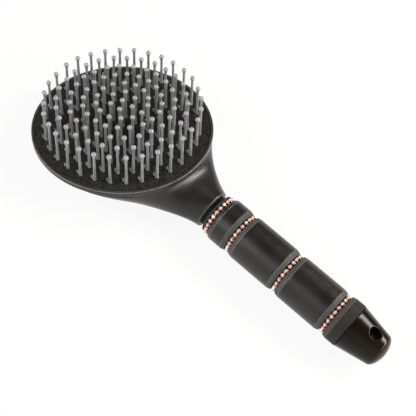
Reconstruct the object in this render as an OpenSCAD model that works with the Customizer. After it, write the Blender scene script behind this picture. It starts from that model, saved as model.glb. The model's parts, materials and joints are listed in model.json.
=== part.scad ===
// Ball-pin cushion brush: a round head set at an angle on a banded handle.
// Millimetres. X runs along the handle from the head to the end cap, and Z is up.
// The brush lies on its back, so the back of the head and the handle's thickest ring touch z = 0.

/* [Head] */
// Outside diameter of the rim
head_d = 95; // [90:1:102]
// Angle between the pad and the handle
head_tilt = 12; // [10:0.5:14]
// Height of the rim's centre above the handle's axis
head_lift = 6.5; // [6:0.25:7.5]
// Height of the upright rim
rim_h = 2.5; // [2:0.1:3]
// Width of the rim's top land
rim_land = 1.3; // [1.2:0.1:2]
// Radius of the rim's top outer edge
rim_round = 0.5; // [0.3:0.1:0.8]
// Step from the rim in to the bowl under it
rim_lip = 0.4; // [0.3:0.1:0.8]

/* [Bowl and neck] */
// Angle at which the bowl leaves the rim at the far end, 90 being straight down
tip_angle = 55; // [52:1:60]
// Angle at which the flanks leave the rim
side_angle = 66; // [60:1:75]
// Angle at which the shoulder leaves the rim beside the neck
shoulder_angle = 105; // [95:1:110]
// How far the bowl keeps that angle at the far end
tip_reach = 19; // [17:0.5:22]
// How far the flanks keep that angle
side_reach = 12; // [9:0.5:15]
// How far the shoulder keeps that angle
shoulder_reach = 3.5; // [2.5:0.25:5]
// Straight run into the neck along its underside
tip_run = 42; // [36:1:48]
// Straight run into the neck along its sides
side_run = 9; // [7:0.5:13]
// Straight run into the neck along its top
shoulder_run = 12; // [9:0.5:14]
// How much wider than the neck the flanks come in
flank_flare = 1.3; // [1.1:0.05:1.5]
// Distance along the handle from the rim's centre to the neck's end
neck_x = 64.6; // [62:0.2:72]
// Diameter of the neck's end
neck_d = 21.6; // [20:0.2:23]
// Radius of the neck's end edge
neck_round = 0.8; // [0.4:0.1:1.2]

/* [Cushion] */
// Depth of the pad's edge below the rim
pad_drop = 0.4; // [0.3:0.1:0.8]
// Thickness of the rubber pad at its edge
pad_t = 1.5; // [1.2:0.1:1.8]
// Rise of the pad's middle above its edge
pad_crown = 0.4; // [0.2:0.1:0.8]
// Width of the rounded band round the pad's edge
pad_edge_w = 0.8; // [0.6:0.1:1.2]
// Drop of that rounded band
pad_edge_drop = 0.2; // [0.1:0.05:0.3]
// Gap round the pad, and between the pad and each pin
pad_gap = 0.15; // [0.1:0.05:0.25]
// Distance that the pins sink when the cushion is pressed
press_travel = 1.5; // [1:0.1:1.6]
// Room round the pins' flanges in the air chamber under the pad
chamber_gap = 0.45; // [0.3:0.05:0.6]

/* [Pins] */
// Length of a pin from the pad to the middle of its ball
pin_h = 17.7; // [14:0.1:22]
// Diameter of a pin at the pad
pin_d = 1.6; // [1.3:0.1:1.8]
// Diameter of a pin under its ball
pin_neck_d = 1.3; // [1:0.1:1.5]
// Diameter of the ball tip
ball_d = 2.6; // [2.2:0.1:3.2]
// Length of the cone that widens a pin into its ball
throat_l = 2.6; // [2:0.1:4]
// Diameter of the flange that holds a pin under the pad
flange_d = 2.4; // [2.2:0.1:2.8]
// Thickness of that flange
flange_t = 0.7; // [0.5:0.1:0.8]
// Margin from the pad's edge to the outer ring of pins
pin_margin = 5.8; // [5.4:0.1:8]
// Diameter of the short nub beside each pin
nub_d = 1.4; // [1:0.1:1.6]
// Height of the nub above the pad
nub_h = 1.7; // [1.2:0.1:2.4]
// Distance from a pin to its nub
nub_reach = 2; // [1.7:0.1:2.4]
// Height of the bar that joins the nub to its pin
nub_bar_h = 0.6; // [0.4:0.1:0.9]

/* [Handle] */
// Gap between pieces that are pushed together
fit_gap = 0.1; // [0.05:0.05:0.2]
// Width of the dark groove behind the neck
groove_w = 1.7; // [0.8:0.1:2]
// Wall of the spool under that groove
groove_wall = 1.2; // [0.9:0.1:1.6]
// Width of the neck collar
collar_w = 1.7; // [0.8:0.1:2]
// Diameter of the neck collar
collar_d = 21.8; // [20.6:0.2:23]
// Broken edge of the neck collar
collar_edge = 0.3; // [0.1:0.1:0.4]
// Diameter of the grips
grip_d = 24.6; // [23.6:0.2:26]
// Diameter of the tail collar
tail_d = 25; // [24.6:0.2:27]
// Depth of the seat for a crystal band below the grips
seat_depth = 3.1; // [2.6:0.1:3.2]
// Wall of a sleeve between that seat and the moulded core
seat_wall = 1.1; // [0.8:0.1:2]
// Length of the front grip
grip_front_l = 11.8; // [8:0.2:14]
// Length of the middle grip
grip_middle_l = 28.2; // [20:0.5:34]
// Length of the rear grip
grip_rear_l = 28.3; // [20:0.5:36]
// Length of the tail collar
tail_l = 8.2; // [6:0.2:12]
// Width of the sloping flank beside a crystal band
flank_w = 2.2; // [1.4:0.1:3]
// Drop of that flank
flank_drop = 0.5; // [0.3:0.1:1]
// Width of the rounded nose of the front grip
nose_w = 1.6; // [1:0.1:2.4]
// Drop of that nose
nose_drop = 1.3; // [0.8:0.1:1.6]
// Width of the broken edge at the tail collar's seam
seam_w = 0.4; // [0.2:0.1:0.6]

/* [Crystal bands] */
// Diameter of a crystal
stone_d = 2; // [1.8:0.1:2.2]
// Height of a crystal's crown above its cup
crown_h = 0.9; // [0.6:0.1:1.1]
// Diameter of a crystal's flat table
table_d = 1.1; // [0.8:0.1:1.3]
// Depth of a crystal's seat in its cup
stone_seat = 0.8; // [0.6:0.1:1]
// Wall of a cup
cup_wall = 0.2; // [0.15:0.05:0.3]
// Height of a cup
cup_h = 1.5; // [1.4:0.1:1.7]
// Least gap between two cups at their tops
cup_gap = 0.3; // [0.2:0.05:0.5]
// Width of the strip that links the cups
link_w = 0.9; // [0.6:0.1:1.2]
// Thickness of that strip
link_t = 0.4; // [0.3:0.05:0.5]
// Gap between a crystal and its cup
stone_gap = 0.05; // [0.03:0.01:0.08]

/* [End cap] */
// Length of the end cap
cap_l = 21.5; // [18:0.2:28]
// Diameter of the cap at its seam
cap_d = 24.6; // [23.6:0.2:25.4]
// Diameter of the cap where its dome starts
cap_tip_d = 18; // [15:0.2:20]
// Length of the domed end
cap_dome = 4.2; // [3:0.2:6]
// Diameter of the hanging hole
hang_d = 6.5; // [5:0.1:8]
// Distance from the cap's seam to the hanging hole
hang_x = 11.3; // [10.4:0.2:13]
// Depth of the socket for the core
socket_l = 5.4; // [4:0.2:5.6]

/* [Hidden] */

// True curves on everything that is turned or drilled
$fn = 48;
// Steps of a rounded edge and of the pad's crown, and flat facets round a crystal
round_steps = 4;
crown_steps = 6;
stone_facets = 8;

// Pins in the middle of the pad and in each ring round it
ring_pins = [1, 6, 14, 20, 24, 28, 32];
ring_total = len(ring_pins) - 1;

// Head, in the frame of the rim's top face
head_r = head_d / 2;
seat_r = head_r - rim_land;
pad_r = seat_r - pad_gap;
pad_under_z = -pad_drop - pad_t;
seat_z = pad_under_z - pad_gap;
ring_pitch = (pad_r - pin_margin) / ring_total;
chamber_r = ring_total * ring_pitch + flange_d / 2 + chamber_gap;
chamber_z = pad_under_z - pad_gap - flange_t - press_travel - chamber_gap;

// Skin of the bowl and neck
skin_sides = 60;
skin_steps = 18;
edge_steps = 3;
skin_sink = rim_h / 4;
skin_r = head_r - rim_lip;
skin_z = skin_sink - rim_h;
neck_r = neck_d / 2;

// Handle, along its own axis from the rim's centre
grip_r = grip_d / 2;
tail_r = tail_d / 2;
band_r = grip_r - seat_depth;
bore_r = band_r - seat_wall;
core_r = bore_r - fit_gap;
bench_r = max(grip_r, tail_r, cap_d / 2);
cup_d = stone_d + 2 * (stone_gap + cup_wall);
band_w = cup_d + fit_gap;
collar_x = neck_x + fit_gap;
bands_x = collar_x + groove_w + collar_w + fit_gap;
sleeve_l = [grip_front_l, grip_middle_l, grip_rear_l, tail_l];
bands = [1:len(sleeve_l)];
cap_x = sleeve_x(len(sleeve_l));
end_x = cap_x + cap_l;
core_start_x = neck_x - neck_r;

// Crystal bands, by radius from the handle's axis
link_r = band_r + fit_gap;
cup_top_r = link_r + cup_h;
stone_foot_r = cup_top_r - stone_seat;
cup_floor_r = stone_foot_r - stone_gap;
stone_count = floor(360 * cup_top_r / (180 / PI) / (cup_d + cup_gap));

// The far point of the rounded rim and the middle of the whole length
rim_x = (rim_round - head_r) * cos(head_tilt) + rim_round * sin(head_tilt) - rim_round;
mid_x = (rim_x + end_x) / 2;

// Where a sleeve starts, and where its body does: it carries the seat of its band, then its own length
function sleeve_x(i) = i == 0 ? bands_x : stop_x(i - 1) + fit_gap;
function body_x(i) = sleeve_x(i) + band_w;
function stop_x(i) = body_x(i) + sleeve_l[i];

// Points of a rounded edge, from its low end at [r - drop, x] to its top at [r, x + run]
function rounded(r, x, run, drop) = [
    for (i = [0:round_steps])
        let (turn = 90 * i / round_steps)
        [r - drop * (1 - sin(turn)), x + run * (1 - cos(turn))]
];

// Points of a flank that slopes up from a crystal band at x
function flank(r, x, run) = [[r - flank_drop, x], [r, x + run]];

function reversed(list) = [for (i = [1:len(list)]) list[len(list) - i]];

// Height of the pad's face at a distance from its middle
function pad_z(r) = pad_crown * (1 - pow(r / pad_r, 2)) - pad_drop;

// A value that goes from the shoulder through the flanks to the far end as a turns from 0 to 180
function around(a, shoulder, side, tip) =
    let (near = pow(max(cos(a), 0), 2), far = pow(max(-cos(a), 0), 2))
    shoulder * near + side * (1 - near - far) + tip * far;

// A point of the rim's frame in the handle's frame
function from_pad(p) = [
    p[0] * cos(head_tilt) - p[2] * sin(head_tilt),
    p[1],
    p[0] * sin(head_tilt) + p[2] * cos(head_tilt) + head_lift
];

function bezier(p0, p1, p2, p3, s) =
    pow(1 - s, 3) * p0 + 3 * s * pow(1 - s, 2) * p1 + 3 * s * s * (1 - s) * p2 + pow(s, 3) * p3;

// One line of the skin, from the rim at angle a to the same angle round the neck's end
function skin_point(a, s) =
    let (
        angle = around(a, shoulder_angle, side_angle, tip_angle),
        reach = around(a, shoulder_reach, side_reach, tip_reach),
        run = around(a, shoulder_run, side_run, tip_run),
        reach_r = skin_r - reach * cos(angle),
        neck_end = neck_x - neck_round
    )
    bezier(
        from_pad([skin_r * cos(a), skin_r * sin(a), skin_z]),
        from_pad([reach_r * cos(a), reach_r * sin(a), skin_z - reach * sin(angle)]),
        [neck_end - run, flank_flare * neck_r * sin(a), neck_r * cos(a)],
        [neck_end, neck_r * sin(a), neck_r * cos(a)],
        s
    );

// The rounded edge at the neck's end
function edge_point(a, turn) =
    let (r = neck_r - neck_round * (1 - cos(turn)))
    [neck_x - neck_round * (1 - sin(turn)), r * sin(a), r * cos(a)];

module on_bench() {
    translate([-mid_x, 0, bench_r]) children();
}

module on_pad() {
    on_bench() translate([0, 0, head_lift]) rotate([0, -head_tilt, 0]) children();
}

// Revolve an outline of [radius, distance] points round the handle's axis
module turned(outline) {
    on_bench() rotate([0, 90, 0]) rotate_extrude() polygon(outline);
}

// Bowl, shoulder and neck as one skin from the rim to the neck's end
module neck_skin() {
    angles = [for (i = [0:skin_sides - 1]) 360 * i / skin_sides];
    rings = concat(
        [for (k = [0:skin_steps]) [for (a = angles) skin_point(a, k / skin_steps)]],
        [for (k = [1:edge_steps]) [for (a = angles) edge_point(a, 90 * k / edge_steps)]]
    );
    last = len(rings) - 1;
    top = len(rings) * skin_sides;
    sides = [
        for (k = [0:last - 1], i = [0:skin_sides - 1])
            let (
                j = (i + 1) % skin_sides,
                a = k * skin_sides + i,
                b = k * skin_sides + j,
                c = a + skin_sides,
                d = b + skin_sides
            )
            each [[a, b, d], [a, d, c]]
    ];
    lids = [
        for (i = [0:skin_sides - 1])
            let (j = (i + 1) % skin_sides)
            each [[top, j, i], [top + 1, last * skin_sides + i, last * skin_sides + j]]
    ];
    centres = [from_pad([0, 0, skin_z]), [neck_x, 0, 0]];
    polyhedron(concat([for (ring = rings) each ring], centres), concat(sides, lids));
}

// The rim's disc with its rounded outer edge
module rim_disc() {
    rotate_extrude() {
        translate([0, -rim_h]) square([head_r, rim_h - rim_round]);
        translate([0, -rim_h]) square([head_r - rim_round, rim_h]);
        translate([head_r - rim_round, -rim_round]) circle(r = rim_round);
    }
}

// Seat for the pad, and under it the air chamber that the pins sink into
module pad_recess() {
    translate([0, 0, seat_z]) cylinder(h = rim_h - seat_z, r = seat_r);
    translate([0, 0, chamber_z]) cylinder(h = rim_h - chamber_z, r = chamber_r);
}

// Moulded head, neck and core, with a flat on the back of the head to lie on
module brush_body() {
    color("#1d1c1b") {
        difference() {
            union() {
                on_bench() neck_skin();
                on_pad() rim_disc();
            }
            on_pad() pad_recess();
            translate([-head_d - mid_x, -head_d, -head_d]) cube([2 * head_d, 2 * head_d, head_d]);
        }
        turned([
            [0, core_start_x], [core_r, core_start_x],
            [core_r, cap_x + socket_l - fit_gap], [0, cap_x + socket_l - fit_gap]
        ]);
    }
}

function ring_point(ring, i) =
    let (r = ring * ring_pitch, a = 360 * i / ring_pins[ring])
    [r * cos(a), r * sin(a), pad_z(r)];

// Crowned rubber pad with a hole for every pin
module cushion_pad() {
    edge_r = pad_r - pad_edge_w;
    hole_reach = pad_t + pad_crown + pad_gap;
    face = [for (i = [0:crown_steps - 1]) let (r = edge_r * i / crown_steps) [r, pad_z(r)]];
    edge = [for (p = rounded(pad_z(edge_r), pad_r, -pad_edge_w, pad_edge_drop)) [p[1], p[0]]];
    color("#262525") on_pad() difference() {
        rotate_extrude() polygon(concat([[0, pad_under_z]], face, reversed(edge), [[pad_r, pad_under_z]]));
        for (ring = [0:ring_total], i = [0:ring_pins[ring] - 1])
            translate(ring_point(ring, i) - [0, 0, hole_reach])
                cylinder(h = 2 * hole_reach, d = pin_d + 2 * pad_gap);
    }
}

// One moulded pin: flange under the pad, tapered shaft, throat, ball tip, and the short nub beside it
module pin(face_z) {
    flange_z = pad_under_z - pad_gap - face_z;
    shaft_r = pin_d / 2;
    ball_seat = ball_d / 2 * cos(45);
    rotate_extrude() {
        polygon([
            [0, flange_z - flange_t], [flange_d / 2, flange_z - flange_t], [flange_d / 2, flange_z],
            [shaft_r, flange_z], [shaft_r, 0], [pin_neck_d / 2, pin_h - throat_l],
            [ball_seat, pin_h - ball_seat], [0, pin_h - ball_seat]
        ]);
        intersection() {
            translate([0, pin_h]) circle(d = ball_d);
            translate([0, pin_h - ball_d]) square([ball_d, 2 * ball_d]);
        }
    }
    translate([-nub_reach, -nub_d / 2, pad_gap]) cube([nub_reach, nub_d, nub_bar_h]);
    translate([-nub_reach, 0, pad_gap]) rotate_extrude() {
        square([nub_d / 2, nub_h - nub_d / 2]);
        intersection() {
            translate([0, nub_h - nub_d / 2]) circle(d = nub_d);
            square([nub_d, nub_h]);
        }
    }
}

module pins_ring(ring) {
    color("#a3a29f") on_pad()
        for (i = [0:ring_pins[ring] - 1])
            translate(ring_point(ring, i)) pin(pad_z(ring * ring_pitch));
}

// Spool behind the neck: its hub is the bottom of the groove and its flange is the collar
module neck_collar() {
    hub_r = bore_r + groove_wall;
    flange_x = collar_x + groove_w;
    back_x = flange_x + collar_w;
    rim_r = collar_d / 2;
    color("#2b2a29") turned([
        [bore_r, collar_x], [hub_r, collar_x], [hub_r, flange_x], [rim_r - collar_edge, flange_x],
        [rim_r, flange_x + collar_edge], [rim_r, back_x - collar_edge], [rim_r - collar_edge, back_x],
        [bore_r, back_x]
    ]);
}

// Sleeve i on the core: the seat of its band, then a body between the points of its two ends
module sleeve(i, nose, heel) {
    turned(concat(
        [[bore_r, sleeve_x(i)], [band_r, sleeve_x(i)], [band_r, body_x(i)]],
        nose,
        reversed(heel),
        [[bore_r, stop_x(i)]]
    ));
}

module grip_front() {
    nose = rounded(grip_r, body_x(0), nose_w, nose_drop);
    color("#242322") sleeve(0, nose, flank(grip_r, stop_x(0), -flank_w));
}

module grip(i) {
    color("#242322") sleeve(i, flank(grip_r, body_x(i), flank_w), flank(grip_r, stop_x(i), -flank_w));
}

module tail_collar() {
    seam = rounded(tail_r, stop_x(3), -seam_w, tail_r - cap_d / 2);
    color("#2b2a29") sleeve(3, flank(tail_r, body_x(3), flank_w), seam);
}

// Tapered glossy cap with a socket for the core and a hole to hang the brush by
module end_cap() {
    dome_steps = 8;
    tip_r = cap_tip_d / 2;
    dome_x = end_x - cap_dome;
    dome = [
        for (i = [0:dome_steps])
            let (turn = 90 * i / dome_steps)
            [tip_r * cos(turn), dome_x + cap_dome * sin(turn)]
    ];
    color("#141312") difference() {
        turned(concat([[0, cap_x], [cap_d / 2, cap_x]], dome));
        turned([
            [0, cap_x - fit_gap], [bore_r, cap_x - fit_gap],
            [bore_r, cap_x + socket_l], [0, cap_x + socket_l]
        ]);
        on_bench() translate([cap_x + hang_x, 0, -cap_d]) cylinder(h = 2 * cap_d, d = hang_d);
    }
}

// Stand a child on the handle's axis at a band's middle, once for each crystal
module round_band(band) {
    on_bench() translate([sleeve_x(band - 1) + band_w / 2, 0, 0])
        for (k = [0:stone_count - 1]) rotate([360 * k / stone_count, 0, 0]) children();
}

// A ring of open cups on a linking strip
module crystal_setting(band) {
    strip_x = sleeve_x(band - 1) + (band_w - link_w) / 2;
    color("#d79a80") difference() {
        union() {
            turned([
                [link_r, strip_x], [link_r + link_t, strip_x],
                [link_r + link_t, strip_x + link_w], [link_r, strip_x + link_w]
            ]);
            round_band(band) translate([0, 0, link_r]) cylinder(h = cup_h, d = cup_d);
        }
        round_band(band) translate([0, 0, cup_floor_r]) cylinder(h = cup_h, d = stone_d + 2 * stone_gap);
    }
}

// The cut crystals of one band: a straight girdle in the cup and a faceted crown with a flat table
module crystals(band) {
    color("#f3cdbd") round_band(band) translate([0, 0, stone_foot_r])
        rotate_extrude($fn = stone_facets) polygon([
            [0, 0], [stone_d / 2, 0], [stone_d / 2, stone_seat],
            [table_d / 2, stone_seat + crown_h], [0, stone_seat + crown_h]
        ]);
}

brush_body();
cushion_pad();
pins_ring(0);  // pins_centre
for (ring = [1:ring_total]) pins_ring(ring);
neck_collar();
grip_front();
grip(1);  // grip_middle
grip(2);  // grip_rear
tail_collar();
end_cap();
for (band = bands) crystal_setting(band);
for (band = bands) crystals(band);
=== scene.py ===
"""Dress the ball-pin cushion brush: fine meshes, finishes, soft studio light and the camera.

Lengths are in metres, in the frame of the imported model: x runs along the handle from the head to the
end cap, z is up, and the brush lies on its back.
"""

import functools
import json
import logging
import math
import random
from collections.abc import Callable
from dataclasses import dataclass
from enum import Enum

import bmesh
import bpy
from mathutils import Matrix, Vector

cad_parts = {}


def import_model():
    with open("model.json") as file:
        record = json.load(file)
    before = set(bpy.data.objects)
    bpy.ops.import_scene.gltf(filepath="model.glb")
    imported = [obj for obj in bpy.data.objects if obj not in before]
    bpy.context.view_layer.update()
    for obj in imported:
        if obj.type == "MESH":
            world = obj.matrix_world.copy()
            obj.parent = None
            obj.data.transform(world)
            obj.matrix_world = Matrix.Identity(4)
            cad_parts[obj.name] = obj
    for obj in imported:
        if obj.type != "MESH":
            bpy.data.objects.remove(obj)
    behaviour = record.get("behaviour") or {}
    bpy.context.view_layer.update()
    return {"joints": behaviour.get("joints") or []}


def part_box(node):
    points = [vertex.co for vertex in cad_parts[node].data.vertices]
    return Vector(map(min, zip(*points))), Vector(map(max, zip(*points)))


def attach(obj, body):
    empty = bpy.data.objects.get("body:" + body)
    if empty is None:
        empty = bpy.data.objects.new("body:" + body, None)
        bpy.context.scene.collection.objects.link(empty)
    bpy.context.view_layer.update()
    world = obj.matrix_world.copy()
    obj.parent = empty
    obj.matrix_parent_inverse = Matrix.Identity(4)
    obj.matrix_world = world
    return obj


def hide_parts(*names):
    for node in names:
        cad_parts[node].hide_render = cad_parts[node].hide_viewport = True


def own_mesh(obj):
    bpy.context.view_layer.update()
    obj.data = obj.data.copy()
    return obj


Triple = tuple[float, float, float]
Colour = Triple
Ring = list[Vector]
Corners = list[bmesh.types.BMVert]
Grid = list[list[bmesh.types.BMVert | None]]
Profile = list[tuple[float, float]]
Outline = list[Triple]

MM = 0.001
FULL_TURN = 2 * math.pi
QUARTER_TURN = math.pi / 2
# An edge that turns this far takes the full paler edge tone, which is partly wear and partly a painted
# highlight.
WEAR_AND_HIGHLIGHT_TURN = math.radians(30.0)  # an edge that turns this far is fully worn
LONGEST_FILLET = 0.48  # the most of a side that one corner's curve takes up
PIN_SEED = 7
CRYSTAL_SEED = 11
BAND_COUNT = 4
WHITE = (1.0, 1.0, 1.0)
WARM_LIGHT = (1.0, 0.95, 0.88)
LOG = logging.getLogger("brush")


class Body(Enum):
    """The rigid bodies that pieces ride on."""

    BRUSH = "brush"
    PINS = "pin_field"


class Slot(Enum):
    """The record's material slots."""

    BODY = "body_plastic"
    PAD = "pad_rubber"
    PIN = "pin_nylon"
    COLLAR = "collar_plastic"
    GRIP = "grip_rubber"
    CAP = "cap_plastic"
    METAL = "rose_gold"
    CRYSTAL = "crystal"


class Shading(Enum):
    """How the faces of a piece meet: smooth up to an angle, or cut flat."""

    SMOOTH = 32.0
    FLAT = 0.0


def colour(code: str) -> Colour:
    """Turn a colour code into linear light.

    Args:
        code: Six hexadecimal digits of a screen colour.

    Returns:
        Red, green and blue as linear values.
    """
    channels = [int(code[i : i + 2], 16) / 255 for i in (0, 2, 4)]
    linear = [c / 12.92 if c <= 0.04045 else ((c + 0.055) / 1.055) ** 2.4 for c in channels]
    return (linear[0], linear[1], linear[2])


@functools.cache
def node_box(node: str) -> tuple[Vector, Vector]:
    """Return the lowest and highest corner of a node, measured once."""
    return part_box(node)


def mix(a: float, b: float, t: float) -> float:
    """Return the value a share t of the way from a to b."""
    return a + (b - a) * t


def full_turn(count: int) -> list[float]:
    """Return evenly spaced angles round a full turn, from 0."""
    return [FULL_TURN * i / count for i in range(count)]


def quarter_turn(steps: int) -> list[float]:
    """Return evenly spaced angles from 0 to a quarter turn, with both ends."""
    return [QUARTER_TURN * k / steps for k in range(steps + 1)]


def circle(r: float, z: float, count: int) -> Ring:
    """Return evenly spaced points at a radius round the z axis and at a height."""
    return [Vector((r * math.cos(a), r * math.sin(a), z)) for a in full_turn(count)]


def filleted(corners: Outline, steps: int = 4) -> Profile:
    """Round the corners of an outline.

    Args:
        corners: Points as (along, radius, fillet), where fillet is how far from the corner its curve starts.
        steps: Points on each curve, less one.

    Returns:
        The outline's points with each rounded corner as a short curve.
    """
    outline: Profile = []
    last = len(corners) - 1
    for i, (along, radius, fillet) in enumerate(corners):
        corner = Vector((along, radius))
        if i in (0, last) or fillet == 0:
            outline.append((along, radius))
            continue
        before = Vector(corners[i - 1][:2]) - corner
        after = Vector(corners[i + 1][:2]) - corner
        start = corner + before.normalized() * min(fillet, before.length * LONGEST_FILLET)
        stop = corner + after.normalized() * min(fillet, after.length * LONGEST_FILLET)
        for k in range(steps + 1):
            t = k / steps
            point = start * (1 - t) ** 2 + corner * 2 * t * (1 - t) + stop * t * t
            outline.append((point.x, point.y))
    return outline


def linked(name: str, data: bpy.types.ID) -> bpy.types.Object:
    """Put data in the scene as an object.

    Args:
        name: The object's name.
        data: Its mesh, light or camera.

    Returns:
        The object.
    """
    made = bpy.data.objects.new(name, data)
    bpy.context.scene.collection.objects.link(made)
    return made


@dataclass(frozen=True)
class BrushFrame:
    """Where the handle's axis and the rim's face lie in the shared frame.

    A handle point is measured from the foot of the rim's centre on the handle's axis, with x along the
    handle. A pad point is measured from the rim's centre, with z square to the pad.
    """

    foot: Vector
    tilt: float
    lift: float = 6.5 * MM

    @classmethod
    def from_cad(cls, joints: list[dict], reach: float = 177.0 * MM) -> "BrushFrame":
        """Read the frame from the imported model.

        Args:
            joints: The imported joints, of which the first presses the pins square into the pad.
            reach: Distance along the handle from the rim's centre to the end of the cap.

        Returns:
            The brush's frame.
        """
        press = Vector(joints[0]["axis"])
        low, high = node_box("tail_collar")
        foot = Vector((node_box("end_cap")[1].x - reach, 0.0, (low.z + high.z) / 2))
        return cls(foot, math.atan2(press.x, -press.z))

    def handle(self, x: float, y: float, z: float) -> Vector:
        """Return a handle point in the shared frame."""
        return self.foot + Vector((x, y, z))

    def along(self, point: Vector) -> float:
        """Return how far along the handle a shared point lies."""
        return point.x - self.foot.x

    def span(self, node: str) -> tuple[float, float]:
        """Return where a node starts and stops along the handle."""
        low, high = node_box(node)
        return self.along(low), self.along(high)

    def turned(self, profile: Profile, sides: int = 96) -> list[Ring]:
        """Turn an outline round the handle's axis.

        Args:
            profile: Points as (along the handle, radius).
            sides: Points round each ring.

        Returns:
            One ring for each point of the outline.
        """
        turns = full_turn(sides)
        return [[self.handle(x, r * math.sin(a), r * math.cos(a)) for a in turns] for x, r in profile]

    def pad(self, x: float, y: float, z: float) -> Vector:
        """Return a pad point in the shared frame."""
        return self.foot + Vector((0.0, 0.0, self.lift)) + self.pad_turn() @ Vector((x, y, z))

    def pad_rings(self, rings: list[Ring]) -> list[Ring]:
        """Return rings of pad points in the shared frame."""
        return [[self.pad(*p) for p in ring] for ring in rings]

    def pad_turn(self) -> Matrix:
        """Return the turn from the pad's directions to the shared ones."""
        return Matrix.Rotation(-self.tilt, 3, "Y")

    def to_pad(self, point: Vector) -> Vector:
        """Return a shared point as a pad point."""
        return self.pad_turn().inverted() @ (point - self.pad(0.0, 0.0, 0.0))


class Shell:
    """One piece's mesh while it is being made."""

    def __init__(self) -> None:
        """Start with an empty mesh."""
        self.mesh = bmesh.new()

    def corners(self, points: Ring) -> Corners:
        """Add a corner at each point and return them."""
        return [self.mesh.verts.new(p) for p in points]

    def loft(self, rings: list[Ring], hoop: bool = False) -> None:
        """Skin closed rings one after another.

        Args:
            rings: Rings of points, all of the same count.
            hoop: Whether the last ring joins the first one. Otherwise a fan of faces closes each end.
        """
        made = [self.corners(ring) for ring in rings]
        for low, high in zip(made, made[1:]):
            self.bridge(low, high)
        if hoop:
            self.bridge(made[-1], made[0])
        else:
            self.fan(made[0])
            self.fan(made[-1])

    def bridge(self, low: Corners, high: Corners) -> None:
        """Join two closed rings with four-sided faces.

        Args:
            low: The first ring's corners.
            high: The second ring's corners, of the same count.
        """
        for i in range(len(low)):
            j = (i + 1) % len(low)
            self.mesh.faces.new((low[i], low[j], high[j], high[i]))

    def fan(self, ring: Corners) -> None:
        """Close a ring with triangles that meet at its middle.

        Args:
            ring: The ring's corners.
        """
        middle = self.mesh.verts.new(sum((v.co for v in ring), Vector()) / len(ring))
        for i in range(len(ring)):
            self.mesh.faces.new((ring[i], ring[(i + 1) % len(ring)], middle))

    def piece(self, name: str, shading: Shading = Shading.SMOOTH) -> bpy.types.Object:
        """Finish the mesh as a named object, with its sharp edges marked.

        Args:
            name: The piece's name.
            shading: How its faces meet.

        Returns:
            The object, whose attribute edge_wear_and_highlight says how sharply the surface turns at each point.
        """
        bmesh.ops.recalc_face_normals(self.mesh, faces=self.mesh.faces[:])
        limit = math.radians(shading.value)
        for face in self.mesh.faces:
            face.smooth = shading is not Shading.FLAT
        for edge in self.mesh.edges:
            edge.smooth = edge.calc_face_angle(0.0) <= limit
        turns = [max((e.calc_face_angle(0.0) for e in v.link_edges), default=0.0) for v in self.mesh.verts]
        data = bpy.data.meshes.new(name)
        self.mesh.to_mesh(data)
        self.mesh.free()
        wear = data.attributes.new("edge_wear_and_highlight", "FLOAT", "POINT")
        wear.data.foreach_set("value", [min(turn / WEAR_AND_HIGHLIGHT_TURN, 1.0) for turn in turns])
        return linked(name, data)


def mark_zone(piece: bpy.types.Object, share: Callable[[Vector], float]) -> None:
    """Store in the attribute zone how far each shared point of a piece belongs to its marked zone."""
    mark = piece.data.attributes.new("zone", "FLOAT", "POINT")
    mark.data.foreach_set("value", [share(v.co) for v in piece.data.vertices])


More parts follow.
